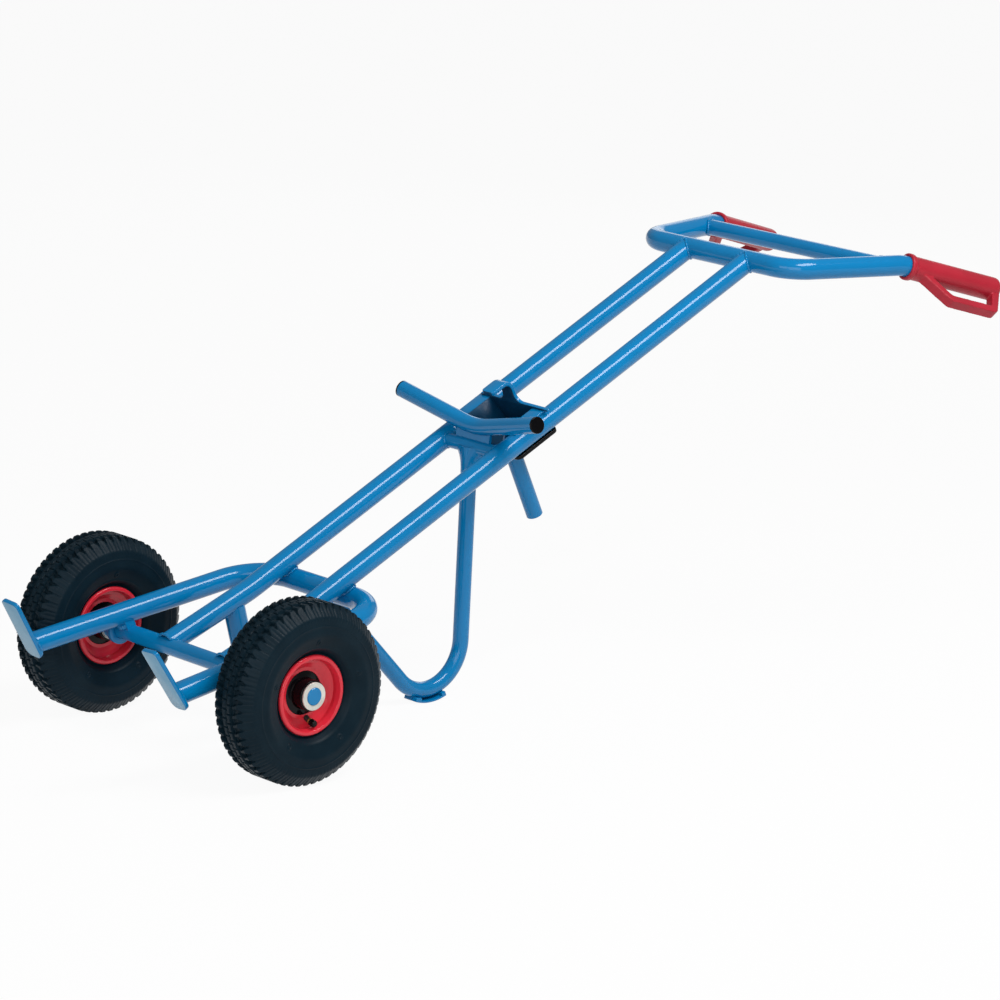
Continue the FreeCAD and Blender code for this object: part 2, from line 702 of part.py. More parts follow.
# The row's origin is the middle of the box, on the floor
whole = Part.makeCompound(list(parts.values()))
box = whole.optimalBoundingBox(False, False)
shift = V(-(box.XMin + box.XMax) / 2, -(box.YMin + box.YMax) / 2, -box.ZMin)
print("shift", shift.x, shift.y, shift.z, "box", box.XLength, box.YLength, box.ZLength)
for name, shape in parts.items():
    shape.translate(shift)
    print(name, shape.ShapeType, len(shape.Solids), shape.isValid(), round(shape.Volume))
    shape.exportStep("parts/" + name + ".step")
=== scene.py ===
import json
import math

import bmesh
import bpy
import numpy as np
from mathutils import Matrix, Vector


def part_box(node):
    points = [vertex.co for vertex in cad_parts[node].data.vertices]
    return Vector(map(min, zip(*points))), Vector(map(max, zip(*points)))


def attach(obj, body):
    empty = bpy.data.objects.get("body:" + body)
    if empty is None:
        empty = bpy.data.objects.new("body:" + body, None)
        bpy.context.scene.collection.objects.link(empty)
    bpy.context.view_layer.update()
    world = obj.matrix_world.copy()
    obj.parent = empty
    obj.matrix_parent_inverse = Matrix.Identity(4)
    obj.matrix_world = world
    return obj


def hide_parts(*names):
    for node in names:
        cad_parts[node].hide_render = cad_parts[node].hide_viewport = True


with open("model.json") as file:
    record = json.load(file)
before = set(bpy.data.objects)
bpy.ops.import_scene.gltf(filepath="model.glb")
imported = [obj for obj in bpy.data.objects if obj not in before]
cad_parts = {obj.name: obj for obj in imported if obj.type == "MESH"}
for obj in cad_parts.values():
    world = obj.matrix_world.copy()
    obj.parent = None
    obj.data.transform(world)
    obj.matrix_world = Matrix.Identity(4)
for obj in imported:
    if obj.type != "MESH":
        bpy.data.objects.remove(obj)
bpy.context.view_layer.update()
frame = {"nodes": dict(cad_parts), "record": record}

MM = 0.001
FULL_TURN = 2 * math.pi
SIDES = {"left": -1, "right": 1}
Y = Vector((0, 1, 0))

# How the trolley stands: the rails rise towards the handle by this angle
PARKED_ANGLE = 26.8

# Viewpoint, fitted to a picture of 1000 by 1000: angles in degrees, distance and slide in metres,
# and the focal length in widths of the sensor
CAM_AZIMUTH = -42.96
CAM_ELEVATION = 12.79
CAM_ROLL = 2.84
CAM_FOCAL = 4.82592
CAM_DISTANCE = 6.84428
CAM_SLIDE = Vector((-0.43500, -0.34627))
SENSOR = 36.0


def node_mid(node):
    low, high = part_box(node)
    return (Vector(low) + Vector(high)) / 2


def node_size(node):
    low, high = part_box(node)
    return Vector(high) - Vector(low)


# Axes of the parked trolley, and the middle of its axle

lean = math.radians(PARKED_ANGLE)
ALONG = Vector((math.cos(lean), 0, math.sin(lean)))
OUT = Vector((-math.sin(lean), 0, math.cos(lean)))
AXLE = node_mid("tyre_left")
AXLE.y = 0.0


# Finishes

NOISE_DETAIL = 4.0
NOISE_LOW = 0.35
NOISE_HIGH = 0.65
GRAIN_STRENGTH = 0.25


def new_material(name):
    material = bpy.data.materials.new(name)
    material.use_nodes = True
    tree = material.node_tree
    shader = tree.nodes["Principled BSDF"]
    coords = tree.nodes.new("ShaderNodeTexCoord")
    return material, tree, shader, coords.outputs["Object"]


def noise(tree, place, scale):
    node = tree.nodes.new("ShaderNodeTexNoise")
    node.inputs["Scale"].default_value = scale
    node.inputs["Detail"].default_value = NOISE_DETAIL
    tree.links.new(place, node.inputs["Vector"])
    return node.outputs["Fac"]


def spread(tree, value, low, high):
    """Stretches a noise value to run from low to high."""
    node = tree.nodes.new("ShaderNodeMapRange")
    node.inputs["From Min"].default_value = NOISE_LOW
    node.inputs["From Max"].default_value = NOISE_HIGH
    node.inputs["To Min"].default_value = low
    node.inputs["To Max"].default_value = high
    tree.links.new(value, node.inputs["Value"])
    return node.outputs["Result"]


def mix_colours(tree, factor, first, second):
    node = tree.nodes.new("ShaderNodeMix")
    node.data_type = "RGBA"
    node.inputs["A"].default_value = (*first, 1.0)
    node.inputs["B"].default_value = (*second, 1.0)
    tree.links.new(factor, node.inputs["Factor"])
    return node.outputs["Result"]


def grain(tree, shader, value, depth):
    node = tree.nodes.new("ShaderNodeBump")
    node.inputs["Strength"].default_value = GRAIN_STRENGTH
    node.inputs["Distance"].default_value = depth
    tree.links.new(value, node.inputs["Height"])
    tree.links.new(node.outputs["Normal"], shader.inputs["Normal"])


def finish(name, pale, deep, rough, cloud, fine, depth, metallic=0.0, specular=0.5):
    """Surface whose colour drifts between two shades, with a fine grain in its gloss.

    The drift and the grain have the noise scales cloud and fine; depth is the grain's height in metres."""
    material, tree, shader, place = new_material(name)
    drift = spread(tree, noise(tree, place, cloud), 0.0, 1.0)
    tree.links.new(mix_colours(tree, drift, pale, deep), shader.inputs["Base Color"])
    fleck = noise(tree, place, fine)
    tree.links.new(spread(tree, fleck, rough[0], rough[1]), shader.inputs["Roughness"])
    shader.inputs["Metallic"].default_value = metallic
    shader.inputs["Specular IOR Level"].default_value = specular
    if depth > 0.0:
        grain(tree, shader, fleck, depth)
    return material


FINISHES = {
    "blue_paint": finish("gloss_blue", (0.001, 0.190, 0.445), (0.001, 0.174, 0.410), (0.128, 0.134),
                         9.0, 12.0, 0.0, specular=0.35),
    "red_paint": finish("gloss_red", (0.720, 0.024, 0.044), (0.640, 0.021, 0.039), (0.12, 0.20),
                        14.0, 80.0, 0.000005, specular=0.4),
    "red_plastic": finish("moulded_red", (0.435, 0.016, 0.034), (0.375, 0.014, 0.029), (0.34, 0.44),
                          22.0, 900.0, 0.00005, specular=0.3),
    "black_plastic": finish("gloss_black", (0.003, 0.003, 0.004), (0.0015, 0.0015, 0.002), (0.12, 0.16),
                            24.0, 300.0, 0.00001, specular=0.14),
    "bush_plastic": finish("turned_bush", (0.360, 0.350, 0.320), (0.300, 0.290, 0.260), (0.40, 0.50),
                           40.0, 700.0, 0.0001),
    "zinc": finish("bright_zinc", (0.720, 0.705, 0.640), (0.610, 0.600, 0.550), (0.30, 0.42),
                   60.0, 800.0, 0.00004, metallic=0.45),
    "tyre_rubber": finish("tyre_black", (0.0045, 0.0150, 0.0235), (0.0028, 0.0112, 0.0185), (0.36, 0.46),
                          26.0, 500.0, 0.00006, specular=0.08),
    "tube_rubber": finish("butyl_black", (0.016, 0.016, 0.017), (0.011, 0.011, 0.012), (0.55, 0.70),
                          30.0, 500.0, 0.0001),
    "valve_rubber": finish("valve_black", (0.014, 0.013, 0.012), (0.009, 0.008, 0.008), (0.40, 0.55),
                           50.0, 900.0, 0.0001),
}
# Soles of the toe plates: a glossier blue, made paler as a painted reflection of the light on them
PAINTED_SHEEN_SOLE = finish("painted_sheen_sole", (0.150, 0.335, 0.475), (0.112, 0.292, 0.435), (0.28, 0.42),
                   34.0, 500.0, 0.0001, specular=0.6)
# Painted shade: a darker blue for the saddle's trough, the hook's riser and the strap's slot, where shade
# falls
PAINTED_SHADE = finish("painted_shade", (0.001, 0.050, 0.115), (0.001, 0.034, 0.085), (0.30, 0.45),
                     30.0, 200.0, 0.00004, specular=0.2)
BRASS = finish("dull_brass", (0.420, 0.270, 0.080), (0.330, 0.200, 0.060), (0.30, 0.42),
               80.0, 900.0, 0.00003, metallic=0.7)

node_slot = {}
for entry in frame["record"]["subparts"]:
    node_slot[entry["node"]] = entry["material_slot"]
for node, slot_name in node_slot.items():
    for material_slot in frame["nodes"][node].material_slots:
        material_slot.material = FINISHES[slot_name]


# Making of new pieces

# Edges that turn by less than the first angle are taken out, by more than the second are broken,
# and by more than the third stay sharp in the shading
FLAT_ANGLE = math.radians(1.0)
BREAK_ANGLE = math.radians(35)
SHARP_ANGLE = math.radians(40)
BREAK_STEPS = 2
SAME_PLACE = 1e-6
RING_STEPS = 48


def add_piece(name, data, body, slot_name, place=None):
    piece = bpy.data.objects.new(name, data)
    bpy.context.scene.collection.objects.link(piece)
    if place is not None:
        piece.matrix_world = place
    if not data.materials:
        data.materials.append(FINISHES[slot_name])
    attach(piece, body)
    return piece


def smooth(mesh):
    """Smooth shading that stops at sharp edges."""
    mesh.shade_smooth()
    mesh.set_sharp_from_angle(angle=SHARP_ANGLE)


def from_work(name, work):
    mesh = bpy.data.meshes.new(name)
    work.to_mesh(mesh)
    work.free()
    smooth(mesh)
    return mesh


def break_edges(work, width):
    sharp = [e for e in work.edges if e.is_manifold and e.calc_face_angle() > BREAK_ANGLE]
    bmesh.ops.bevel(work, geom=sharp, offset=width, offset_type="OFFSET", segments=BREAK_STEPS,
                    profile=0.5, affect="EDGES", clamp_overlap=True)


def skin(work, rings):
    """Faces from ring to ring, shut at both ends."""
    for low, high in zip(rings, rings[1:]):
        for k in range(len(low)):
            work.faces.new((low[k - 1], low[k], high[k], high[k - 1]))
    work.faces.new(rings[0][::-1])
    work.faces.new(rings[-1])
    bmesh.ops.recalc_face_normals(work, faces=work.faces)


def frame_of(direction):
    """Two unit vectors square to a direction."""
    first = direction.orthogonal().normalized()
    return first, direction.cross(first).normalized()


def spoke(first, second, angle):
    return first * math.cos(angle) + second * math.sin(angle)


# Tyres with their whole tread, which stand for the frame's tyres

# Section in mm: corners as (radius, across) of one half, and the rounding of each after the first
TYRE_HALF = [(50.8, 22.6), (59.5, 22.6), (66.5, 33.5), (87.5, 42.5), (113.0, 39.5), (130.0, 23.5)]
TYRE_ROUNDS = [2.0, 8.0, 14.0, 8.0, 2.0]
TYRE_LINING = [(50.8, 12.6), (61.5, 13.6), (85.5, 34.5), (112.0, 30.5), (119.0, 18.5)]
ROUND_STEPS = 10

# Mesh: steps round each lug, and steps over the section, fine as far as the tread reaches
LUGS = 60
HALF_LUG = 0.5
STEPS_PER_LUG = 14
FINE_STEP = 0.9
FINE_REACH = 58.0
COARSE_STEPS = 46

# Crown in mm: a zigzag round its middle, slots across it and a long groove on each side;
# the slots curve by a share of a lug
ZIGZAG_DEPTH = 2.6
ZIGZAG_HALF = 0.8
ZIGZAG_SWING = 1.3
SLOT_DEPTH = 2.4
SLOT_HALF = 0.9
SLOT_CURVE = 0.06
GROOVE = 10.4
GROOVE_DEPTH = 4.6
GROOVE_HALF = 2.2
GROOVE_SWING = 0.3
CUT_WALL = 0.7

# Shoulders in mm: notches with shallow dips between them, sized by (distance from the middle, size)
NOTCH_HALF = [(GROOVE, 3.4), (14.0, 4.3), (20.0, 3.7), (27.0, 1.9), (32.0, 0.7), (57.0, 0.5)]
NOTCH_DEPTH = [(GROOVE, 5.6), (20.0, 5.6), (27.0, 3.6), (32.0, 0.8), (47.0, 0.4), (57.0, 0.0)]
NOTCH_WALL = 0.9
NOTCH_BEND = 1.3
NOTCH_BEND_RUN = 18.0
DIP_DEPTH = [(24.0, 0.0), (32.0, 0.45), (44.0, 0.35), (52.0, 0.0)]
DIP_HALF = 1.2
DIP_WALL = 2.4

# Side walls in mm: two raised rings as (radius, rise, half width), and small round marks between them
WALL_FROM = 50.0
RINGS = ((100.0, 0.7, 0.8), (69.0, 0.4, 0.9))
MARKS = 5
MARK_RADIUS = 78.0
MARK_RISE = 1.0
MARK_SIZE = 2.9
MARK_HALF = 0.9


def rounded_path(corners, rounds):
    """Open path through flat corners, each inner corner rounded off."""
    path = [corners[0]]
    for before, corner, after, radius in zip(corners, corners[1:], corners[2:], rounds):
        into = (corner - before).normalized()
        away = (after - corner).normalized()
        run = radius * math.tan(into.angle(away) / 2)
        start = corner - into * run
        stop = corner + away * run
        for step in range(ROUND_STEPS + 1):
            t = step / ROUND_STEPS
            path.append(start * (1 - t) ** 2 + corner * (2 * t * (1 - t)) + stop * t ** 2)
    path.append(corners[-1])
    return np.array([p[:] for p in path])


def band(distance, half, wall=CUT_WALL):
    """One inside a groove of this half width, nought outside, with sloping walls."""
    return np.clip((half - np.abs(distance)) / wall + 0.5, 0.0, 1.0)


def wave(phase):
    """Zigzag from -1 to 1 once a turn of the phase."""
    return 4.0 * np.abs(phase - np.floor(phase + 0.5)) - 1.0


def off_lug(phase):
    """How far a phase is from the nearest whole number."""
    return phase - np.round(phase)


def size_at(away, corners):
    """Size at a distance from the middle, on straight lines from corner to corner."""
    return np.interp(away, [place for place, size in corners], [size for place, size in corners])


def tread_depth(across, radius, turn):
    """How deep the mould cuts at a place: distance from the middle of the crown, radius and angle."""
    phase = turn / FULL_TURN * LUGS
    pitch = FULL_TURN * radius / LUGS
    away = np.abs(across)
    row = phase - np.where(across > 0, HALF_LUG, 0.0)
    on_crown = away < GROOVE
    on_shoulder = away > GROOVE
    on_wall = away > WALL_FROM
    zigzag = ZIGZAG_DEPTH * band(across - ZIGZAG_SWING * wave(phase), ZIGZAG_HALF)
    off_slot = off_lug(row - HALF_LUG + SLOT_CURVE * np.sin(away * math.pi / GROOVE)) * pitch
    slots = SLOT_DEPTH * on_crown * band(off_slot, SLOT_HALF)
    grooves = GROOVE_DEPTH * band(away - GROOVE - GROOVE_SWING * wave(row), GROOVE_HALF)
    bend = NOTCH_BEND * np.sin(np.clip((away - GROOVE) / NOTCH_BEND_RUN, 0.0, 1.0) * FULL_TURN)
    off_notch = off_lug(row - bend / pitch) * pitch
    notches = size_at(away, NOTCH_DEPTH) * on_shoulder
    notches = notches * band(off_notch, size_at(away, NOTCH_HALF), NOTCH_WALL)
    off_dip = off_lug(row - HALF_LUG) * pitch
    dips = size_at(away, DIP_DEPTH) * on_shoulder * band(off_dip, DIP_HALF, DIP_WALL)
    depth = np.max([zigzag, slots, grooves, notches, dips], axis=0)
    for ring_radius, rise, half in RINGS:
        depth = depth - rise * on_wall * band(radius - ring_radius, half)
    for mark in range(MARKS):
        around = np.angle(np.exp(1j * (turn - FULL_TURN * mark / MARKS))) * radius
        off_mark = np.hypot(around, radius - MARK_RADIUS) - MARK_SIZE
        depth = depth - MARK_RISE * on_wall * band(off_mark, MARK_HALF)
    return depth


def tyre_section():
    """Outer section of the tyre: distances from the middle of the crown, and places as (radius, across)."""
    half = [Vector(p) for p in TYRE_HALF]
    corners = [Vector((p.x, -p.y)) for p in half] + half[::-1]
    path = rounded_path(corners, TYRE_ROUNDS + TYRE_ROUNDS[::-1])
    lengths = np.concatenate([[0.0], np.cumsum(np.hypot(*np.diff(path, axis=0).T))])
    middle = lengths[-1] / 2
    fine = np.arange(0.0, FINE_REACH, FINE_STEP)
    coarse = np.linspace(FINE_REACH, middle, COARSE_STEPS)
    side = np.concatenate([fine, coarse])
    across = np.concatenate([-side[:0:-1], side])
    outline = np.stack([np.interp(across + middle, lengths, path[:, k]) for k in range(2)], axis=1)
    return across, outline


def tyre_mesh():
    """Ring about Y with its middle at the origin, in metres."""
    across, outline = tyre_section()
    tangent = np.gradient(outline, axis=0)
    tangent /= np.linalg.norm(tangent, axis=1)[:, None]
    inward = np.stack([-tangent[:, 1], tangent[:, 0]], axis=1)
    count = LUGS * STEPS_PER_LUG
    turns = np.arange(count) * FULL_TURN / count
    depth = tread_depth(across[None, :], outline[None, :, 0], turns[:, None])
    ring = outline[None] + inward[None] * depth[:, :, None]
    lining = np.array(TYRE_LINING + [(r, -s) for r, s in TYRE_LINING[::-1]])
    ring = np.concatenate([ring, np.repeat(lining[None], count, axis=0)], axis=1)
    radius = ring[:, :, 0] * MM
    x = radius * np.sin(turns)[:, None]
    z = radius * np.cos(turns)[:, None]
    points = np.stack([x, ring[:, :, 1] * MM, z], axis=2)
    wide = points.shape[1]
    i, j = np.meshgrid(np.arange(count), np.arange(wide), indexing="ij")
    row = i * wide
    next_row = (i + 1) % count * wide
    next_j = (j + 1) % wide
    faces = np.stack([row + j, row + next_j, next_row + next_j, next_row + j], axis=2)
    mesh = bpy.data.meshes.new("tyre_tread")
    mesh.from_pydata(points.reshape(-1, 3).tolist(), [], faces.reshape(-1, 4).tolist())
    smooth(mesh)
    return mesh


tread = tyre_mesh()
for side, s in SIDES.items():
    turn = Matrix.Rotation(0.0 if s > 0 else math.pi, 4, "Z")
    place = Matrix.Translation(node_mid("tyre_" + side)) @ turn
    tyre = add_piece("tyre_tread_" + side, tread, "wheel_" + side, "tyre_rubber", place)
    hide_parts("tyre_" + side)


# Plate and turned pieces with their edges broken, each from its own solid

TOE_TILT_ANGLE = 5.9
TROUGH_HALF = 50.0 * MM
FOOT_FROM = 70.0 * MM
FOOT_SHIFT = 7.0 * MM
PLATE_EDGE = 1.2 * MM
BACK_PLATE_EDGE = 1.0 * MM
HUB_EDGE = 1.0 * MM
COLLAR_EDGE = 0.8 * MM
SHEET_EDGE = 0.7 * MM
RING_EDGE = 0.6 * MM

# Least share of a direction in the normal of a face that is taken to look that way
LOOKS_ALIKE = 0.98
LOOKS_DOWN = 0.9
LOOKS_IN = 0.3

toe_tilt = math.radians(TOE_TILT_ANGLE)
toe_sole = ALONG * -math.cos(toe_tilt) - OUT * math.sin(toe_tilt)


def eased(node, body, width, second=None, chosen=None, settle=None):
    """Copy of a solid with its sharp edges broken, and a second finish on the faces chosen for it."""
    mesh = frame["nodes"][node].data.copy()
    work = bmesh.new()
    work.from_mesh(mesh)
    bmesh.ops.remove_doubles(work, verts=work.verts, dist=SAME_PLACE)
    if settle is not None:
        for vertex in work.verts:
            vertex.co = settle(vertex.co)
    bmesh.ops.dissolve_limit(work, angle_limit=FLAT_ANGLE, verts=work.verts, edges=work.edges)
    break_edges(work, width)
    for face in work.faces:
        face.material_index = 1 if chosen is not None and chosen(face) else 0
    mesh.materials.clear()
    mesh.materials.append(FINISHES[node_slot[node]])
    if second is not None:
        mesh.materials.append(second)
    work.to_mesh(mesh)
    work.free()
    smooth(mesh)
    piece = add_piece(node + "_eased", mesh, body, node_slot[node])
    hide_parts(node)


def is_sole(face):
    return face.normal.dot(toe_sole) > LOOKS_ALIKE


def is_painted_shade_trough(face):
    """Faces of the saddle that look into its trough, below the flanges on the rails; they get painted
    shade.
    """
    across = face.calc_center_median().y
    looks_in = face.normal.dot(OUT) > LOOKS_IN or face.normal.y * across < -LOOKS_IN * abs(across)
    return abs(across) < TROUGH_HALF and looks_in


def is_painted_shade_riser(face):
    """Faces of the hook that look down along the rails; they get painted shade."""
    return face.normal.dot(ALONG) < -LOOKS_DOWN


def foot_aside(place):
    """The foot of the hook reaches further over the near rail than over the far one."""
    return place - Y * FOOT_SHIFT if abs(place.y) > FOOT_FROM else place


for side in SIDES:
    # The soles of the toe plates get the paler blue of a painted reflection
    eased("toe_plate_" + side, "frame", PLATE_EDGE, PAINTED_SHEEN_SOLE, is_sole)
    eased("axle_collar_" + side, "frame", COLLAR_EDGE)
    eased("lock_ring_" + side, "frame", RING_EDGE)
    eased("hub_" + side, "wheel_" + side, HUB_EDGE)
# Painted shade in the saddle's trough, a darker blue where shade falls between the rails
eased("saddle", "carriage", SHEET_EDGE, PAINTED_SHADE, is_painted_shade_trough)
# Painted shade on the hook's riser, which faces away from the light
eased("hook", "carriage", PLATE_EDGE, PAINTED_SHADE, is_painted_shade_riser, foot_aside)
eased("back_plate", "carriage", BACK_PLATE_EDGE)


# Strap under the bend of the stand, closed on the tube at both ends, with a dark sheet in its slot as
# painted shade

STAND_R = 12.0 * MM
STAND_BEND = 68.0 * MM
STRAP_OUT = 85.0 * MM
STRAP_IN = 82.3 * MM
STRAP_SEAT = 78.0 * MM
STRAP_HALF = 13.5 * MM
STRAP_EDGE = 0.5 * MM
BACK_EDGE = 0.3 * MM
BACK_GAP = 1.0 * MM
STRAP_STEPS = 30
SLOT_STEPS = 18
FRONT_STEPS = 8
REAR_STEPS = 4

# Degrees about the bend: front end, start and stop of the slot, rear end
STRAP_ANGLES = (-19.0, -11.5, 17.5, 22.5)

stand_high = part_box("stand_tube")[1]
stand_leg = Vector((stand_high[0] - STAND_R, 0, 0))
stand_mid = stand_leg - Vector((STAND_BEND, 0, -STRAP_OUT))


def about_bend(radius, angle):
    turn = math.radians(angle)
    return stand_mid + Vector((math.sin(turn), 0, -math.cos(turn))) * radius


def arc(radius, start, stop, steps):
    return [about_bend(radius, start + (stop - start) * k / steps) for k in range(steps + 1)]


def prism(name, outline, middle, half, edge):
    """Flat outline in the XZ plane, drawn out to both sides of a middle, with its edges broken."""
    work = bmesh.new()
    face = work.faces.new([work.verts.new(p + Y * (middle - half)) for p in outline])
    drawn = bmesh.ops.extrude_face_region(work, geom=[face])
    moved = [item for item in drawn["geom"] if isinstance(item, bmesh.types.BMVert)]
    bmesh.ops.translate(work, verts=moved, vec=Y * (2 * half))
    bmesh.ops.recalc_face_normals(work, faces=work.faces)
    break_edges(work, edge)
    return add_piece(name, from_work(name, work), "frame", "blue_paint")


front, slot_start, slot_stop, rear = STRAP_ANGLES
strap_outline = arc(STRAP_OUT, front, rear, STRAP_STEPS)
strap_outline += arc(STRAP_SEAT, rear, slot_stop, REAR_STEPS)
strap_outline += arc(STRAP_IN, slot_stop, slot_start, SLOT_STEPS)
strap_outline += arc(STRAP_SEAT, slot_start, front, FRONT_STEPS)
strap = prism("stand_strap", strap_outline, 0.0, STRAP_HALF, STRAP_EDGE)
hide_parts("stand_shoe")
back_outline = arc(STRAP_IN, slot_start, slot_stop, SLOT_STEPS)
back_outline += arc(STRAP_SEAT, slot_stop, slot_start, SLOT_STEPS)
# Dark sheet at the back of the strap's slot: painted shade where the slot falls into shadow
back = prism("strap_painted_shade", back_outline, STRAP_HALF / 2, STRAP_HALF / 2 - BACK_GAP, BACK_EDGE)
back.material_slots[0].material = PAINTED_SHADE


# Flared top of the stand's leg, under the mid tube

FLARE_HALF = 25.0 * MM
FLARE_DEPTH = 9.0 * MM
FLARE_DROP = 40.0 * MM
FLARE_SKIN = 0.3 * MM
FLARE_SUNK = 1.0 * MM
FLARE_STEPS = 12
mid_tube = node_mid("mid_tube")
mid_r = node_size("mid_tube").z / 2


def under_mid_tube(x):
    """Height of the underside of the mid tube at a place along X."""
    return mid_tube.z - math.sqrt(max(mid_r ** 2 - (x - mid_tube.x) ** 2, 0.0))


def flare_work():
    """Skin over the leg that turns from round to flat and wide as it rises to the tube."""
    work = bmesh.new()
    rings = []
    for step in range(FLARE_STEPS + 1):
        t = step / FLARE_STEPS
        ease = t * t
        wide = STAND_R + FLARE_SKIN + (FLARE_HALF - STAND_R) * ease
        deep = STAND_R + FLARE_SKIN + (FLARE_DEPTH - STAND_R) * ease
        ring = []
        for k in range(RING_STEPS):
            turn = FULL_TURN * k / RING_STEPS
            x = stand_leg.x + deep * math.cos(turn)
            top = under_mid_tube(x) + FLARE_SUNK
            ring.append(work.verts.new((x, wide * math.sin(turn), top - FLARE_DROP * (1 - t))))
        rings.append(ring)
    skin(work, rings)
    return work


add_piece("stand_flare", from_work("stand_flare", flare_work()), "frame", "blue_paint")


# Valves in the dishes of the wheels, leaning out past the hubs

VALVE_RADIUS = 37.0 * MM
VALVE_ANGLE = 10.0
VALVE_LEAN_ANGLE = 17.0
VALVE_SEAT = 7.5 * MM
FERRULE = (9.6 * MM, 11.9 * MM)
CAP_STEPS = 96
CAP_RIBS = 16
CAP_RIB = 0.035

# Profiles in mm, as (radius, height above the seat)
STEM = [(4.6, 1.0), (4.6, 4.0), (3.9, 5.5), (3.7, 9.5),
        (4.3, 9.7), (4.3, 11.8), (3.7, 12.0), (3.7, 13.5)]
CAP = [(4.4, 12.5), (5.0, 13.2), (5.1, 18.5), (4.7, 20.5), (3.6, 22.0), (1.6, 22.5)]

valve_turn = math.radians(VALVE_ANGLE)
valve_way = Vector((math.sin(valve_turn), 0, -math.cos(valve_turn)))
valve_lean = math.radians(VALVE_LEAN_ANGLE)


def turned(profile, axis, seat, steps=RING_STEPS, ribs=0, rib=0.0):
    """Surface turned about an axis from its seat, shut at both ends, ribbed by a share of its radius."""
    first, second = frame_of(axis)
    work = bmesh.new()
    rings = []
    for radius, height in profile:
        ring = []
        for k in range(steps):
            turn = FULL_TURN * k / steps
            reach = radius * MM * (1 + rib * math.cos(ribs * turn))
            place = seat + axis * (height * MM) + spoke(first, second, turn) * reach
            ring.append(work.verts.new(place))
        rings.append(ring)
    skin(work, rings)
    return work


for side, s in SIDES.items():
    body = "wheel_" + side
    stem_name = "valve_stem_turned_" + side
    cap_name = "valve_cap_ribbed_" + side
    axis = Y * (s * math.cos(valve_lean)) + valve_way * math.sin(valve_lean)
    seat = node_mid("hub_" + side) + valve_way * VALVE_RADIUS + Y * (s * VALVE_SEAT)
    work = turned(STEM, axis, seat)
    for face in work.faces:
        height = (face.calc_center_median() - seat).dot(axis)
        face.material_index = 1 if FERRULE[0] < height < FERRULE[1] else 0
    mesh = from_work(stem_name, work)
    mesh.materials.append(FINISHES["valve_rubber"])
    mesh.materials.append(BRASS)
    stem = add_piece(stem_name, mesh, body, "valve_rubber")
    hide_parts("valve_stem_" + side)
    work = turned(CAP, axis, seat, CAP_STEPS, CAP_RIBS, CAP_RIB)
    cap = add_piece(cap_name, from_work(cap_name, work), body, "black_plastic")
    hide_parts("valve_cap_" + side)


# Grips: moulded skins with soft edges, from their solids

GRIP_VOXEL = 1.1 * MM
SOFTEN_SHARE = 0.5
SOFTEN_ROUNDS = 9


def moulded(node, body):
    source = bpy.data.objects.new(node + "_rough", frame["nodes"][node].data.copy())
    bpy.context.scene.collection.objects.link(source)
    remesh = source.modifiers.new("skin", "REMESH")
    remesh.mode = "VOXEL"
    remesh.voxel_size = GRIP_VOXEL
    soften = source.modifiers.new("soften", "SMOOTH")
    soften.factor = SOFTEN_SHARE
    soften.iterations = SOFTEN_ROUNDS
    graph = bpy.context.evaluated_depsgraph_get()
    mesh = bpy.data.meshes.new_from_object(source.evaluated_get(graph))
    bpy.data.objects.remove(source)
    mesh.materials.clear()
    mesh.materials.append(FINISHES[node_slot[node]])
    mesh.shade_smooth()
    piece = add_piece(node + "_moulded", mesh, body, node_slot[node])
    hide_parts(node)


for side in SIDES:
    moulded("grip_" + side, "frame")


# Weld beads at the joints of the tubes

BEAD = 2.1 * MM
BEAD_STEPS = 2
RIPPLE = 4.0 * MM
RIPPLE_LOW = 0.82
RIPPLE_RISE = 0.26
THROAT_SPARE = 0.35
LEAST_POINTS = 24
CROSSING_POINTS = 72


def ring_about(start, way, radius):
    """Places round the wall of a tube at its start, about a millimetre apart."""
    first, second = frame_of(way)
    count = max(LEAST_POINTS, int(FULL_TURN * radius / MM))
    return [start + spoke(first, second, FULL_TURN * k / count) * radius for k in range(count)]


def mouth(start, way, radius, middle, axis, host):
    """Closed line where a tube from start meets the side of a round bar."""
    flat = way - axis * way.dot(axis)
    line = []
    for place in ring_about(start, way, radius):
        gap = place - middle
        gap = gap - axis * gap.dot(axis)
        facing = gap.dot(flat)
        square = facing * facing - flat.length_squared * (gap.length_squared - host * host)
        run = (-facing - math.sqrt(max(square, 0.0))) / flat.length_squared
        line.append((place + way * run, 1.0))
    return line


def foot(start, way, radius, on_plane, normal):
    """Closed line where a tube from start meets a flat plate."""
    line = []
    for place in ring_about(start, way, radius):
        run = (on_plane - place).dot(normal) / way.dot(normal)
        line.append((place + way * run, 1.0))
    return line


def crossing(first_mid, first_way, second_mid, second_way, first_r, second_r, reach):
    """Closed line in the throat between two bars that cross, filling the gap there."""
    apart = second_mid - first_mid
    normal = apart.normalized()
    line = []
    for k in range(CROSSING_POINTS):
        angle = FULL_TURN * k / CROSSING_POINTS
        offset = first_way * (math.cos(angle) * reach) + second_way * (math.sin(angle) * reach)
        off_first = (offset - first_way * offset.dot(first_way)).length
        off_second = (offset - second_way * offset.dot(second_way)).length
        top = math.sqrt(first_r ** 2 - off_first ** 2)
        bottom = apart.length - math.sqrt(second_r ** 2 - off_second ** 2)
        fill = max((bottom - top) / 2, 0.0) / BEAD
        line.append((first_mid + offset + normal * ((top + bottom) / 2), fill + THROAT_SPARE))
    return line


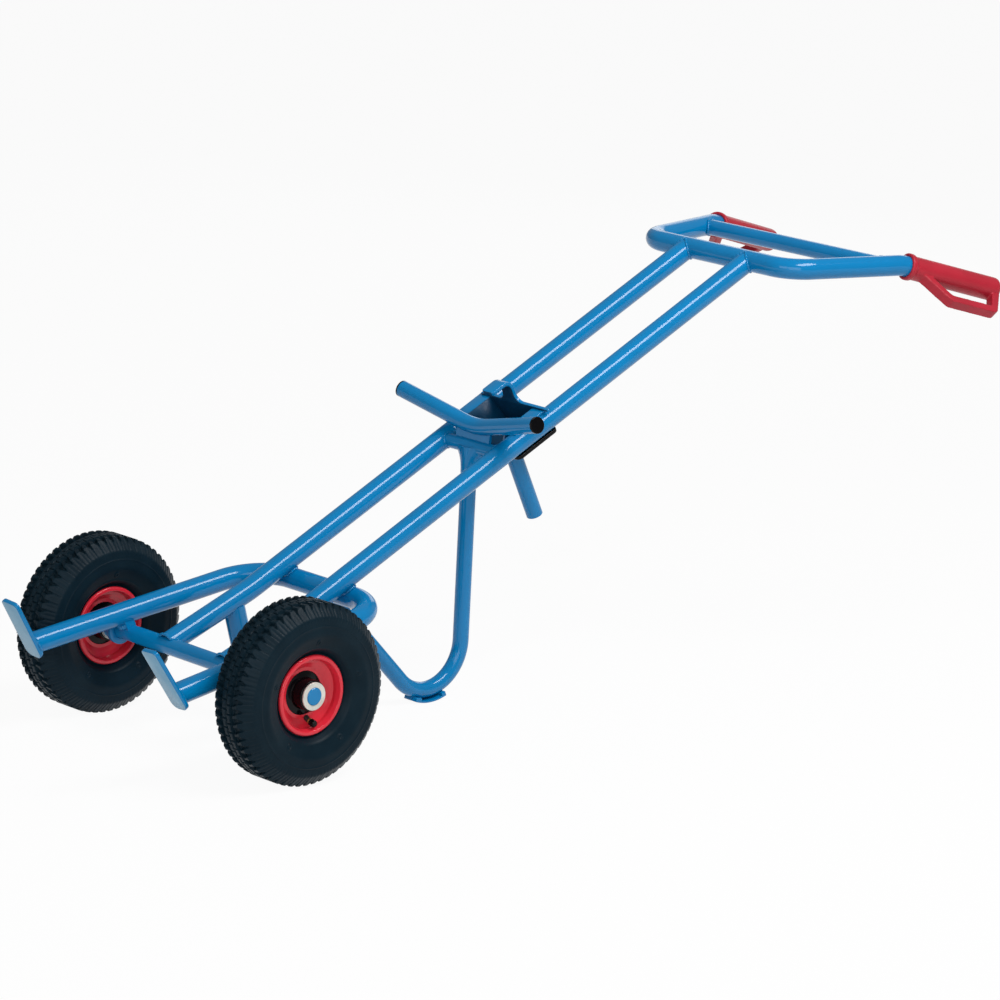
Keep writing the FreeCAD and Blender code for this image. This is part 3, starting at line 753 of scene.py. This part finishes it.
def weld_piece(name, body, lines):
    """Rippled beads along closed lines of (place, share of the size of a bead)."""
    curve = bpy.data.curves.new(name, "CURVE")
    curve.dimensions = "3D"
    curve.bevel_depth = BEAD
    curve.bevel_resolution = BEAD_STEPS
    for line in lines:
        spline = curve.splines.new("POLY")
        spline.points.add(len(line) - 1)
        spline.use_cyclic_u = True
        for k, (place, size) in enumerate(line):
            ripple = RIPPLE_LOW + RIPPLE_RISE * abs(math.sin(math.pi * k * MM / RIPPLE))
            spline.points[k].co = (*place, 1.0)
            spline.points[k].radius = size * ripple
    add_piece(name, curve, body, "blue_paint")


def at(along, out, across=0.0):
    """Place by lengths along the rails, out from them and across, counted from the axle."""
    return AXLE + ALONG * along + OUT * out + Y * across


# Where the joints lie, as in the solids: lengths along the rails, out from them and across
FORK_BAR_ALONG = 234.6 * MM
FORK_BAR_OUT = -40.6 * MM
FORK_BAR_HALF = 140.2 * MM
LEG_SLOPE = -0.3143
LEG_SPREAD = -0.05787
LEG_SEAT = 9.0 * MM
RAIL_OUT = -9.6 * MM
RAIL_BEND_ALONG = 160.0 * MM
RAIL_FOOT_OUT = 3.1 * MM
RAIL_SEAT = 11.0 * MM
AXLE_R = 12.5 * MM
TOE_TIP_ALONG = -160.5 * MM
TOE_TIP_OUT = 160.4 * MM
TOE_THICK = 6.5 * MM
ARM_SPLAY_ANGLE = 14.6
STEP_ALONG = 126.0 * MM
STEP_LEAN_ANGLE = 10.0

rail_r = node_size("rail_left").y / 2
clear = 3 * rail_r
slim_r = node_size("handle_brace").z / 2
brace = node_mid("handle_brace")
brace_half = node_size("handle_brace").y / 2
handle_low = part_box("handle_loop")[0]
base_x = handle_low[0] + rail_r
base_mid = mid_tube + ALONG * ((base_x - mid_tube.x) / ALONG.x)
fork_bar = at(FORK_BAR_ALONG, FORK_BAR_OUT)
leg_out = FORK_BAR_OUT - LEG_SLOPE * FORK_BAR_ALONG
leg_half = FORK_BAR_HALF - LEG_SPREAD * FORK_BAR_ALONG
toe_back = at(TOE_TIP_ALONG, TOE_TIP_OUT) - toe_sole * TOE_THICK
arm_splay = math.radians(ARM_SPLAY_ANGLE)
step_lean = math.radians(STEP_LEAN_ANGLE)
step_way = OUT * math.cos(step_lean) + ALONG * math.sin(step_lean)
step_out = RAIL_OUT + (RAIL_FOOT_OUT - RAIL_OUT) * (1 - STEP_ALONG / RAIL_BEND_ALONG)
foot_way = (at(0, RAIL_FOOT_OUT) - at(RAIL_BEND_ALONG, RAIL_OUT)).normalized()


def rail_welds(side, s):
    """Beads of one rail, at the handle loop and at the mid tube."""
    rail = Vector((mid_tube.x, node_mid("rail_" + side).y, mid_tube.z))
    return [mouth(rail, ALONG, rail_r, base_mid, Y, rail_r),
            mouth(mid_tube, Y * s, mid_r, rail, ALONG, rail_r)]


def foot_welds(side, s):
    """Beads of one side at the handle brace, fork leg, fork bar, axle and step."""
    across = node_mid("rail_" + side).y
    arm_way = Vector((math.cos(arm_splay), s * math.sin(arm_splay), 0))
    arm = Vector((brace.x, s * brace_half, brace.z))
    leg_way = (ALONG + OUT * LEG_SLOPE + Y * (s * LEG_SPREAD)).normalized()
    leg = at(0, leg_out, s * leg_half)
    over_bar = at(FORK_BAR_ALONG, RAIL_OUT, across)
    on_bar = at(FORK_BAR_ALONG, FORK_BAR_OUT, across)
    on_rail = at(STEP_ALONG, step_out, across)
    return [mouth(brace, Y * s, slim_r, arm + Y * (s * rail_r / 2), arm_way, rail_r),
            foot(leg, -leg_way, rail_r, toe_back, toe_sole),
            crossing(leg, leg_way, at(0, 0, leg.y), Y, rail_r, AXLE_R, LEG_SEAT),
            crossing(over_bar, ALONG, on_bar, Y, rail_r, rail_r, RAIL_SEAT),
            mouth(at(RAIL_BEND_ALONG, RAIL_OUT, across), foot_way, rail_r, AXLE, Y, AXLE_R),
            mouth(on_rail - step_way * clear, step_way, slim_r, on_rail, foot_way, rail_r)]


def stand_weld():
    """Bead where the tube of the stand meets the fork bar."""
    bar_link = stand_mid - fork_bar
    slope = math.atan2(bar_link.z, bar_link.x) - math.asin(STAND_BEND / bar_link.length)
    way = Vector((math.cos(slope), 0, math.sin(slope)))
    return mouth(fork_bar + way * clear, -way, STAND_R, fork_bar, Y, rail_r)


lines = []
for make_welds in (rail_welds, foot_welds):
    for side, s in SIDES.items():
        lines += make_welds(side, s)
lines.append(stand_weld())
weld_piece("frame_welds", "frame", lines)


# Floor, light and camera

WHITE = (1.0, 1.0, 1.0, 1.0)
FLOOR_GREY = (0.80, 0.80, 0.80, 1.0)
FLOOR_GLOW = 0.94
FLOOR_REACH = 60.0
WORLD_STRENGTH = 0.28
LAMP_AIM = (0.0, 0.0, 0.3)


def larger(tree, first, second):
    """The larger of two values in a material."""
    node = tree.nodes.new("ShaderNodeMath")
    node.operation = "MAXIMUM"
    tree.links.new(first, node.inputs[0])
    tree.links.new(second, node.inputs[1])
    return node.outputs["Value"]


def floor_finish():
    """Matte floor that mostly glows white where it is seen, apart from the shadow on it."""
    material = bpy.data.materials.new("pale_floor")
    material.use_nodes = True
    tree = material.node_tree
    tree.nodes.clear()
    output = tree.nodes.new("ShaderNodeOutputMaterial")
    matte = tree.nodes.new("ShaderNodeBsdfDiffuse")
    matte.inputs["Color"].default_value = FLOOR_GREY
    glow = tree.nodes.new("ShaderNodeEmission")
    glow.inputs["Color"].default_value = WHITE
    path = tree.nodes.new("ShaderNodeLightPath")
    seen = larger(tree, path.outputs["Is Camera Ray"], path.outputs["Is Glossy Ray"])
    seen = larger(tree, seen, path.outputs["Is Transmission Ray"])
    share = tree.nodes.new("ShaderNodeMath")
    share.operation = "MULTIPLY"
    share.inputs[1].default_value = FLOOR_GLOW
    tree.links.new(seen, share.inputs[0])
    blend = tree.nodes.new("ShaderNodeMixShader")
    tree.links.new(share.outputs["Value"], blend.inputs["Fac"])
    tree.links.new(matte.outputs["BSDF"], blend.inputs[1])
    tree.links.new(glow.outputs["Emission"], blend.inputs[2])
    tree.links.new(blend.outputs["Shader"], output.inputs["Surface"])
    return material


def pale_floor():
    mesh = bpy.data.meshes.new("floor")
    corners = [(FLOOR_REACH * x, FLOOR_REACH * y, 0) for x, y in ((-1, -1), (1, -1), (1, 1), (-1, 1))]
    mesh.from_pydata(corners, [], [(0, 1, 2, 3)])
    floor = bpy.data.objects.new("floor", mesh)
    bpy.context.scene.collection.objects.link(floor)
    mesh.materials.append(floor_finish())


def softbox(name, place, aim, wide, high, power):
    """Flat lamp at a place, turned to an aim: width and height in metres, power in watts."""
    data = bpy.data.lights.new(name, "AREA")
    data.shape = "RECTANGLE"
    data.size = wide
    data.size_y = high
    data.energy = power
    lamp = bpy.data.objects.new(name, data)
    bpy.context.scene.collection.objects.link(lamp)
    lamp.location = place
    lamp.rotation_euler = (Vector(aim) - Vector(place)).to_track_quat("-Z", "Y").to_euler()


def studio_world():
    world = bpy.data.worlds.new("studio")
    world.use_nodes = True
    background = world.node_tree.nodes["Background"]
    background.inputs["Color"].default_value = WHITE
    background.inputs["Strength"].default_value = WORLD_STRENGTH
    bpy.context.scene.world = world


def aim_camera():
    turn = math.radians(CAM_AZIMUTH)
    rise = math.radians(CAM_ELEVATION)
    roll = math.radians(CAM_ROLL)
    back = Vector((math.sin(turn) * math.cos(rise), -math.cos(turn) * math.cos(rise), math.sin(rise)))
    level = Vector((math.cos(turn), math.sin(turn), 0))
    above = back.cross(level)
    right = level * math.cos(roll) + above * math.sin(roll)
    up = above * math.cos(roll) - level * math.sin(roll)
    spot = Vector((AXLE.x, 0, 0)) - right * CAM_SLIDE.x - up * CAM_SLIDE.y + back * CAM_DISTANCE
    data = bpy.data.cameras.new("photo_view")
    data.sensor_width = SENSOR
    data.lens = CAM_FOCAL * SENSOR
    camera = bpy.data.objects.new("photo_view", data)
    bpy.context.scene.collection.objects.link(camera)
    axes = Matrix((right, up, back)).transposed()
    camera.matrix_world = Matrix.Translation(spot) @ axes.to_4x4()
    bpy.context.scene.camera = camera


pale_floor()
softbox("overhead", (0.35, -1.45, 2.7), (0.0, 0.0, 0.35), 1.9, 0.8, 61.0)
softbox("front_fill", (-3.0, -3.3, 1.6), LAMP_AIM, 3.0, 2.4, 56.0)
softbox("left_fill", (-3.6, -1.0, 1.8), LAMP_AIM, 1.6, 1.6, 20.0)
softbox("back_fill", (3.4, 2.6, 1.7), LAMP_AIM, 2.2, 1.6, 14.0)
studio_world()
aim_camera()
bpy.context.scene.view_settings.view_transform = "Standard"
